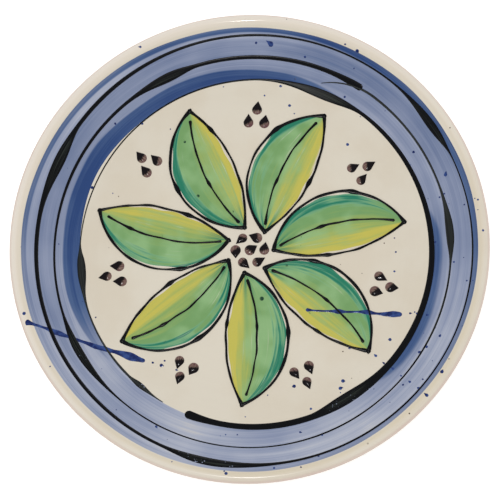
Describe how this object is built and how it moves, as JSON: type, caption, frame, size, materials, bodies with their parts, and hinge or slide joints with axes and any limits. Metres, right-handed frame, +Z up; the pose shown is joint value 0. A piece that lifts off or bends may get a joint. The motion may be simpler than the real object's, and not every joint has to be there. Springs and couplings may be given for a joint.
{
  "type": "dinner plate",
  "caption": "Round hand-thrown earthenware plate on a turned foot ring, with a sloping banded rim, a rounded lip and a painted leaf rosette in a flat well; serves and holds food.",
  "frame": {"origin": "centre of the foot ring, on the surface that the plate stands on", "axes": "+Z up along the axis that the plate was turned about; +X and +Y level, +X through a leaf's base"},
  "size_m": [0.3, 0.3, 0.0285],
  "materials": {
    "biscuit_clay": "fired clay, fine grain, matt and dry where the foot is wiped bare",
    "cream_glaze": "warm white gloss glaze, faintly pink where it thins at the lip",
    "pale_blue_wash": "thin brushed blue under gloss glaze, streaked round the plate",
    "deep_blue_wash": "strong brushed cobalt under gloss glaze",
    "black_slip": "black brushed and trailed slip, gloss, raised",
    "leaf_green_wash": "green brushed wash that runs to teal and yellow, gloss",
    "aubergine_slip": "thick dark purple-brown dabs, gloss"
  },
  "bodies": {
    "root": {"clay_body": "biscuit_clay", "face_glaze": "cream_glaze", "base_glaze": "cream_glaze", "lip_blue_band": "pale_blue_wash", "upper_pale_band": "pale_blue_wash", "lower_pale_band": "pale_blue_wash", "deep_blue_band": "deep_blue_wash", "upper_black_line": "black_slip", "middle_black_line": "black_slip", "well_black_line": "black_slip", "berry_dabs": "aubergine_slip", "leaf_wash_1": "leaf_green_wash", "leaf_trail_1": "black_slip", "leaf_wash_2": "leaf_green_wash", "leaf_trail_2": "black_slip", "leaf_wash_3": "leaf_green_wash", "leaf_trail_3": "black_slip", "leaf_wash_4": "leaf_green_wash", "leaf_trail_4": "black_slip", "leaf_wash_5": "leaf_green_wash", "leaf_trail_5": "black_slip", "leaf_wash_6": "leaf_green_wash", "leaf_trail_6": "black_slip", "leaf_wash_7": "leaf_green_wash", "leaf_trail_7": "black_slip"}
  },
  "joints": []
}
